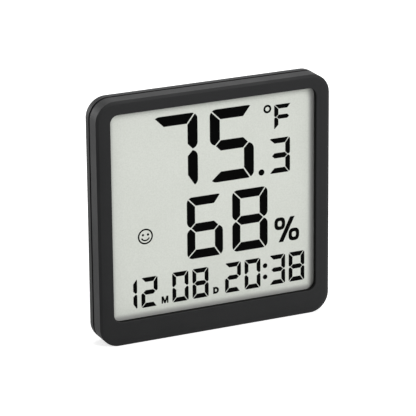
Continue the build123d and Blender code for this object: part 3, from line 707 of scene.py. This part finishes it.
# which of the seven segments a numeral lights
lit = {
    "0": "abcdef",
    "1": "bc",
    "2": "abdeg",
    "3": "abcdg",
    "5": "acdfg",
    "6": "acdefg",
    "7": "abc",
    "8": "abcdefg",
    "F": "aefg",
}


def segmentOutlines(numeral, left, foot, size):
    width, height = size["width"], size["height"]
    thick, level, gap, radius = size["upright"], size["level"], size["gap"], size["radius"]
    topLeft, topRight, footLeft, footRight = size["slants"]
    right, top, middle = left + width, foot + height, foot + height / 2
    innerLeft, innerRight = left + thick, right - thick
    under, over = middle - level / 2, middle + level / 2
    upper = roundedBox(left, right, middle + gap / 2, top, radius)
    lower = roundedBox(left, right, foot, middle - gap / 2, radius)
    whole = roundedBox(left, right, foot, top, radius)
    # Each segment is one side of a box. The gaps that cut its ends are given by a point on the
    # line, the line's slant and the side that stays.
    segments = {
        "a": (
            clip(whole, 0, 1, top - level),
            ((innerLeft, top - level), topLeft, -1),
            ((innerRight, top - level), topRight, 1),
        ),
        "b": (
            clip(upper, 1, 0, innerRight),
            ((innerRight, top - level), topRight, -1),
            ((innerRight, over), -middleSlant, 1),
        ),
        "c": (
            clip(lower, 1, 0, innerRight),
            ((innerRight, foot + level), footRight, -1),
            ((innerRight, under), middleSlant, -1),
        ),
        "d": (
            clip(whole, 0, -1, -(foot + level)),
            ((innerLeft, foot + level), footLeft, -1),
            ((innerRight, foot + level), footRight, 1),
        ),
        "e": (
            clip(lower, -1, 0, -innerLeft),
            ((innerLeft, foot + level), footLeft, 1),
            ((innerLeft, under), -middleSlant, -1),
        ),
        "f": (
            clip(upper, -1, 0, -innerLeft),
            ((innerLeft, top - level), topLeft, 1),
            ((innerLeft, over), middleSlant, 1),
        ),
        "g": (
            roundedBox(left, right, under, over, 0, steps=1),
            ((innerLeft, over), middleSlant, -1),
            ((innerLeft, under), -middleSlant, 1),
            ((innerRight, over), -middleSlant, -1),
            ((innerRight, under), middleSlant, 1),
        ),
    }
    made = []
    for key in lit[numeral]:
        outline, *gaps = segments[key]
        for through, degrees, side in gaps:
            outline = besideLine(outline, through, degrees, side, gap)
        made.append(outline)
    return made


def numeralOutlines(numerals, size):
    # each numeral is given with its left and its foot
    made = []
    for numeral, left, foot in numerals:
        made += segmentOutlines(numeral, left, foot, size)
    return made


def ringOutlines(x, z, halfWidth, halfHeight, stroke, power=2.0, steps=40):
    # a ring as an outer and an inner loop; a higher power squares it off
    loops = []
    for shrink in (0, stroke):
        wide, high = halfWidth - shrink, halfHeight - shrink
        loop = []
        for step in range(steps):
            angle = 2 * math.pi * step / steps
            cosine, sine = math.cos(angle), math.sin(angle)
            reach = (abs(cosine) ** power + abs(sine) ** power) ** (-1 / power)
            loop.append((x + wide * cosine * reach, z + high * sine * reach))
        loops.append(loop)
    return loops


def disc(x, z, radius):
    return ringOutlines(x, z, radius, radius, 0)[0]


def strokeOutline(points, width, sharpestMitre=0.35):
    # a band along a line, with square ends and mitred corners
    sides = ([], [])
    for index, (x, z) in enumerate(points):
        before = points[max(index - 1, 0)]
        after = points[min(index + 1, len(points) - 1)]
        turns = []
        for first, second in ((before, (x, z)), ((x, z), after)):
            length = math.dist(first, second)
            if length > 0:
                turns.append(((second[0] - first[0]) / length, (second[1] - first[1]) / length))
        alongX = sum(turn[0] for turn in turns)
        alongZ = sum(turn[1] for turn in turns)
        length = math.hypot(alongX, alongZ)
        alongX, alongZ = alongX / length, alongZ / length
        mitre = max(sharpestMitre, alongX * turns[0][0] + alongZ * turns[0][1])
        stretch = width / 2 / mitre
        sides[0].append((x - alongZ * stretch, z + alongX * stretch))
        sides[1].append((x + alongZ * stretch, z - alongX * stretch))
    return sides[0] + sides[1][::-1]


def plates(name, loops, front, back, material, body="housing"):
    # flat raised plates from loops of (x, z), holes included; front and back are y
    curve = bpy.data.curves.new(name, "CURVE")
    curve.dimensions = "2D"
    curve.fill_mode = "BOTH"
    curve.extrude = abs(back - front) / 2 / perMetre
    for loop in loops:
        spline = curve.splines.new("POLY")
        spline.points.add(len(loop) - 1)
        for point, corner in zip(spline.points, loop):
            point.co = (*metres(*corner), 0, 1)
        spline.use_cyclic_u = True
    flat = bpy.data.objects.new(name + "Outline", curve)
    mesh = bpy.data.meshes.new_from_object(flat)
    mesh.name = name
    bpy.data.objects.remove(flat)
    bpy.data.curves.remove(curve)
    # the outline is drawn lying down and then stands up, with its middle between front and back
    middle = (front + back) / 2 / perMetre
    mesh.transform(Matrix.Translation((0, middle, 0)) @ Matrix.Rotation(math.pi / 2, 4, "X"))
    mesh.materials.clear()
    mesh.materials.append(material)
    piece = bpy.data.objects.new(name, mesh)
    bpy.context.scene.collection.objects.link(piece)
    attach(piece, body)
    return piece


# Ink of the picture: plates that stand proud of the film's front and are sunk into it a little
pictureInk = {
    "dark": (0.0004, 0.0004, 0.0004),
    "light": (0.0012, 0.0012, 0.0012),
    "specular": 0.02,
    "roughness": (0.5, 0.6),
    "speckSize": 0.3,
    "proud": 0.02,
    "sunk": 0.03,
}


def makeInk(spec):
    look = {"Specular IOR Level": spec["specular"]}
    material, tree, shader, place = startFinish("segmentInk", look)
    speck = grain(tree, place, spec["speckSize"], fineDetail)
    share = ramp(tree, speck, *noiseSpan, 0, 1)
    colour = blendColours(tree, share, spec["dark"], spec["light"])
    tree.links.new(colour, shader.inputs["Base Color"])
    rough = ramp(tree, speck, *noiseSpan, *spec["roughness"])
    tree.links.new(rough, shader.inputs["Roughness"])
    return material


segmentInk = makeInk(pictureInk)
filmFront = boxOf("front_polariser")[0].y
inkFront, inkBack = filmFront - pictureInk["proud"], filmFront + pictureInk["sunk"]


def showOnFilm(name, loops):
    plates(name, loops, inkFront, inkBack, segmentInk)


# Upper row: temperature with its unit. The point is given by its place and radius, and the
# degree ring by place, radius and stroke.
temperatureRow = {
    "tall": {
        "width": 18.62,
        "height": 29.31,
        "upright": 4.21,
        "level": 4.14,
        "gap": 0.51,
        "radius": 2.68,
        "slants": (136, 52, 40, 124),
    },
    "tallNumerals": (("7", -24.81, 59.48), ("5", -1.06, 59.37)),
    "small": {
        "width": 8.92,
        "height": 14.21,
        "upright": 2.04,
        "level": 2.11,
        "gap": 0.29,
        "radius": 1.0,
        "slants": (138, 53, 45, 126),
    },
    "smallNumerals": (("3", 24.21, 59.46),),
    "unit": {
        "width": 7.54,
        "height": 9.98,
        "upright": 1.79,
        "level": 1.68,
        "gap": 0.23,
        "radius": 0.61,
        "slants": (135, 51, 45, 132),
    },
    "unitLetter": (("F", 26.33, 77.18),),
    "point": (20.81, 60.64, 1.26),
    "degree": (23.4, 85.93, 1.7, 0.84),
}


def makeTemperatureRow(row):
    loops = numeralOutlines(row["tallNumerals"], row["tall"])
    loops += numeralOutlines(row["smallNumerals"], row["small"])
    loops.append(disc(*row["point"]))
    showOnFilm("temperatureNumerals", loops)
    loops = numeralOutlines(row["unitLetter"], row["unit"])
    x, z, radius, stroke = row["degree"]
    loops += ringOutlines(x, z, radius, radius, stroke)
    showOnFilm("temperatureUnit", loops)


# Middle row: humidity with a percent sign of two squarish rings and a bar, whose ends are given
# from the top
humidityRow = {
    "tall": {
        "width": 15.21,
        "height": 25.1,
        "upright": 3.43,
        "level": 3.57,
        "gap": 0.46,
        "radius": 2.28,
        "slants": (134, 53, 44, 124),
    },
    "tallNumerals": (("6", -11.07, 29.73), ("8", 8.18, 29.82)),
    "percentRings": ((28.68, 38.46), (34.84, 33.29)),
    "percentHalf": (2.33, 2.57),
    "percentStroke": 1.44,
    "percentPower": 2.8,
    "percentBar": ((34.18, 40.81), (29.16, 30.77)),
    "percentBarWidth": 2.0,
}


def makeHumidityRow(row):
    showOnFilm("humidityNumerals", numeralOutlines(row["tallNumerals"], row["tall"]))
    loops = []
    for x, z in row["percentRings"]:
        loops += ringOutlines(x, z, *row["percentHalf"], row["percentStroke"], row["percentPower"])
    (topX, topZ), (footX, footZ) = row["percentBar"]
    half = row["percentBarWidth"] / 2
    loops.append([
        (footX - half, footZ),
        (footX + half, footZ),
        (topX + half, topZ),
        (topX - half, topZ),
    ])
    showOnFilm("humidityUnit", loops)


# Lower row, left: the date. The shares of the letter M are heights of its inner corners.
dateRow = {
    "size": {
        "width": 6.88,
        "height": 12.26,
        "upright": 1.65,
        "level": 1.85,
        "gap": 0.28,
        "radius": 0.78,
        "slants": (133, 54, 47, 124),
    },
    "numerals": (
        ("1", -39.28, 13.05),
        ("2", -30.68, 13.1),
        ("0", -17.61, 13.21),
        ("8", -9.05, 13.28),
    ),
    "letterM": {
        "left": -22.24,
        "foot": 13.52,
        "width": 2.91,
        "height": 2.94,
        "stem": 0.62,
        "shoulder": 0.82,
        "tipHalf": 0.3,
        "crotchShare": 0.45,
        "notchShare": 0.42,
    },
    "letterD": {
        "left": -0.27,
        "foot": 13.88,
        "width": 2.52,
        "height": 2.83,
        "stroke": 0.87,
        "bowSteps": 12,
    },
}


def letterMOutline(letter):
    left, foot = letter["left"], letter["foot"]
    right, top = left + letter["width"], foot + letter["height"]
    middle = (left + right) / 2
    crotch = foot + letter["crotchShare"] * letter["height"]
    notch = foot + letter["notchShare"] * letter["height"]
    return [
        (left, foot),
        (left + letter["stem"], foot),
        (left + letter["stem"], crotch),
        (middle - letter["tipHalf"], foot),
        (middle + letter["tipHalf"], foot),
        (right - letter["stem"], crotch),
        (right - letter["stem"], foot),
        (right, foot),
        (right, top),
        (right - letter["shoulder"], top),
        (middle, notch),
        (left + letter["shoulder"], top),
        (left, top),
    ]


def letterDOutlines(letter):
    # the outer and the inner loop of a letter whose bow is a half circle
    left, foot, steps = letter["left"], letter["foot"], letter["bowSteps"]
    half = letter["height"] / 2
    bowX, bowZ = left + letter["width"] - half, foot + half
    made = []
    for shrink in (0, letter["stroke"]):
        reach = half - shrink
        loop = [(left + shrink, foot + shrink)]
        for step in range(steps + 1):
            angle = math.pi * (step / steps - 0.5)
            loop.append((bowX + reach * math.cos(angle), bowZ + reach * math.sin(angle)))
        loop.append((left + shrink, foot + letter["height"] - shrink))
        made.append(loop)
    return made


def makeDateRow(row):
    loops = numeralOutlines(row["numerals"], row["size"])
    loops.append(letterMOutline(row["letterM"]))
    loops += letterDOutlines(row["letterD"])
    showOnFilm("dateNumerals", loops)


# Lower row, right: the time
clockRow = {
    "size": dateRow["size"],
    "numerals": (
        ("2", 4.87, 13.4),
        ("0", 13.35, 13.47),
        ("3", 24.12, 13.57),
        ("8", 32.57, 13.65),
    ),
    "colon": ((22.24, 22.06), (22.24, 17.38)),
    "colonRadius": 1.0,
}


def makeClockRow(row):
    loops = numeralOutlines(row["numerals"], row["size"])
    for x, z in row["colon"]:
        loops.append(disc(x, z, row["colonRadius"]))
    showOnFilm("clockNumerals", loops)


# Small round face that stands for comfort. Its mouth is an arc about a point above the middle.
comfortFace = {
    "middle": (-28.58, 42.01),
    "radius": 3.15,
    "stroke": 0.62,
    "eyes": ((-1.0, 0.66), (1.1, 0.66)),
    "eyeRadius": 0.48,
    "mouthRadius": 1.77,
    "mouthStroke": 0.57,
    "mouthRise": 0.15,
    "mouthSpan": (-155, -25),
    "mouthSteps": 12,
}


def makeComfortFace(face):
    x, z = face["middle"]
    loops = ringOutlines(x, z, face["radius"], face["radius"], face["stroke"])
    for aside, above in face["eyes"]:
        loops.append(disc(x + aside, z + above, face["eyeRadius"]))
    reach, steps = face["mouthRadius"], face["mouthSteps"]
    start, end = face["mouthSpan"]
    smile = []
    for step in range(steps + 1):
        angle = math.radians(start + (end - start) * step / steps)
        rise = face["mouthRise"] + reach * math.sin(angle)
        smile.append((x + reach * math.cos(angle), z + rise))
    loops.append(strokeOutline(smile, face["mouthStroke"]))
    showOnFilm("comfortFace", loops)


makeTemperatureRow(temperatureRow)
makeHumidityRow(humidityRow)
makeDateRow(dateRow)
makeClockRow(clockRow)
makeComfortFace(comfortFace)
print("display picture done")


# Raised marks above the buttons on the back: an arrow down (-1), an arrow up (1) and a ring (0)
buttonMarks = {
    "signs": {"down_button": -1, "up_button": 1, "set_button": 0},
    "backDepth": 12.6,
    "above": 5.2,
    "half": 0.95,
    "arrowShare": 0.8,
    "ringStroke": 0.4,
    "raise": 0.15,
    "sink": 0.1,
    "finish": dict(caseShell, dark=(0.28, 0.28, 0.28), light=(0.36, 0.36, 0.36)),
}


def makeButtonMarks(spec):
    backFace = spec["backDepth"] + cadLow.y * perMetre
    half = spec["half"]
    loops = []
    for name, way in spec["signs"].items():
        low, high = boxOf(name)
        x, z = (low.x + high.x) / 2, (low.z + high.z) / 2 + spec["above"]
        if way == 0:
            loops += ringOutlines(x, z, half, half, spec["ringStroke"])
        else:
            reach = way * spec["arrowShare"] * half
            loops.append([(x - half, z - reach), (x + half, z - reach), (x, z + reach)])
    front, back = backFace - spec["sink"], backFace + spec["raise"]
    material = mouldedPlastic("markGrey", spec["finish"])
    plates("buttonMarks", loops, front, back, material)


makeButtonMarks(buttonMarks)
print("button marks done")


# Stage, in metres: a pale floor, soft lamps that face a point at lampAim, and a white surround.
# Gloss finds the floor dimmer by dimShare to the left and ahead, which fades to the right over
# dimAcross, and to the back over dimAhead, where dimShareBehind of it is left.
stage = {
    "floorSize": 3.2,
    "floorColour": (0.86, 0.86, 0.86),
    "floorGlow": 0.46,
    "floorGlowInView": 0.62,
    "skyColour": (1, 1, 1),
    "skyLight": 0.38,
    "skyInView": 1,
    "dimAcross": (-0.09, 0.02),
    "dimAhead": (-0.06, 0.02),
    "dimShare": 0.95,
    "dimShareBehind": 0.25,
    "lampAim": 0.05,
}
lamps = {
    "keyLamp": {"place": (2.7, -4.8, 3.6), "size": 3.9, "power": 240},
    "fillLamp": {"place": (-1.7, 0.3, 0.6), "size": 1.4, "power": 2},
    "topLamp": {"place": (0.4, 0.8, 1.7), "size": 1.4, "power": 11},
    "backLamp": {"place": (-1.2, 1.6, 0.35), "size": 1.4, "power": 22},
}


def lightPath(tree, name):
    return tree.nodes.new("ShaderNodeLightPath").outputs[name]


def whiteRays(tree):
    # 1 for what the camera, gloss and glass see
    gloss, glass = lightPath(tree, "Is Glossy Ray"), lightPath(tree, "Is Transmission Ray")
    inGloss = calc(tree, "MAXIMUM", gloss, glass)
    return calc(tree, "MAXIMUM", lightPath(tree, "Is Camera Ray"), inGloss)


def makeFloor(spec):
    half = spec["floorSize"] / 2
    mesh = bpy.data.meshes.new("floor")
    corners = [(-half, -half, 0), (half, -half, 0), (half, half, 0), (-half, half, 0)]
    mesh.from_pydata(corners, [], [(0, 1, 2, 3)])
    floor = bpy.data.objects.new("floor", mesh)
    bpy.context.scene.collection.objects.link(floor)
    material = bpy.data.materials.new("paleFloor")
    material.use_nodes = True
    tree = material.node_tree
    tree.nodes.clear()
    # the floor glows a little for gloss and glass, and more where the camera sees it
    inGloss = calc(tree, "MULTIPLY", whiteRays(tree), spec["floorGlow"])
    inView = calc(tree, "MULTIPLY", lightPath(tree, "Is Camera Ray"), spec["floorGlowInView"])
    seen = calc(tree, "MAXIMUM", inGloss, inView)
    matte = addNode(tree, "ShaderNodeBsdfDiffuse", {}, {"Color": (*spec["floorColour"], 1)})
    glow = addNode(tree, "ShaderNodeEmission", {}, {"Strength": seen})
    glowing = {0: matte.outputs[0], 1: glow.outputs[0]}
    bright = addNode(tree, "ShaderNodeAddShader", {}, glowing)
    # the dim part of the floor brings out the slope of the rim at the left
    dark = addNode(tree, "ShaderNodeEmission", {}, {"Strength": 0.0})
    ground = tree.nodes.new("ShaderNodeTexCoord").outputs["Object"]
    across, ahead, _ = alongAxes(tree, ground)
    dimAcross = ramp(tree, across, *spec["dimAcross"], spec["dimShare"], 0, smooth=True)
    dimAhead = ramp(tree, ahead, *spec["dimAhead"], 1, spec["dimShareBehind"], smooth=True)
    dimThere = calc(tree, "MULTIPLY", dimAcross, dimAhead)
    dim = calc(tree, "MULTIPLY", dimThere, lightPath(tree, "Is Glossy Ray"))
    shares = {0: dim, 1: bright.outputs[0], 2: dark.outputs[0]}
    floorLight = addNode(tree, "ShaderNodeMixShader", {}, shares)
    addNode(tree, "ShaderNodeOutputMaterial", {}, {"Surface": floorLight.outputs[0]})
    mesh.materials.append(material)


def makeSurround(spec):
    world = bpy.data.worlds.new("whiteSurround")
    bpy.context.scene.world = world
    world.use_nodes = True
    tree = world.node_tree
    background = tree.nodes["Background"]
    background.inputs["Color"].default_value = (*spec["skyColour"], 1)
    strength = ramp(tree, whiteRays(tree), 0, 1, spec["skyLight"], spec["skyInView"])
    tree.links.new(strength, background.inputs["Strength"])


def makeLamps(specs, aim):
    for name, spec in specs.items():
        data = bpy.data.lights.new(name, "AREA")
        data.shape = "DISK"
        data.size = spec["size"]
        data.energy = spec["power"]
        lamp = bpy.data.objects.new(name, data)
        bpy.context.scene.collection.objects.link(lamp)
        place = Matrix.Translation(spec["place"])
        toObject = -place.translation
        toObject.z += aim
        lamp.matrix_world = place @ toObject.to_track_quat("-Z", "Y").to_matrix().to_4x4()


makeFloor(stage)
makeSurround(stage)
makeLamps(lamps, stage["lampAim"])
bpy.context.scene.view_settings.view_transform = "Standard"
print("stage done")
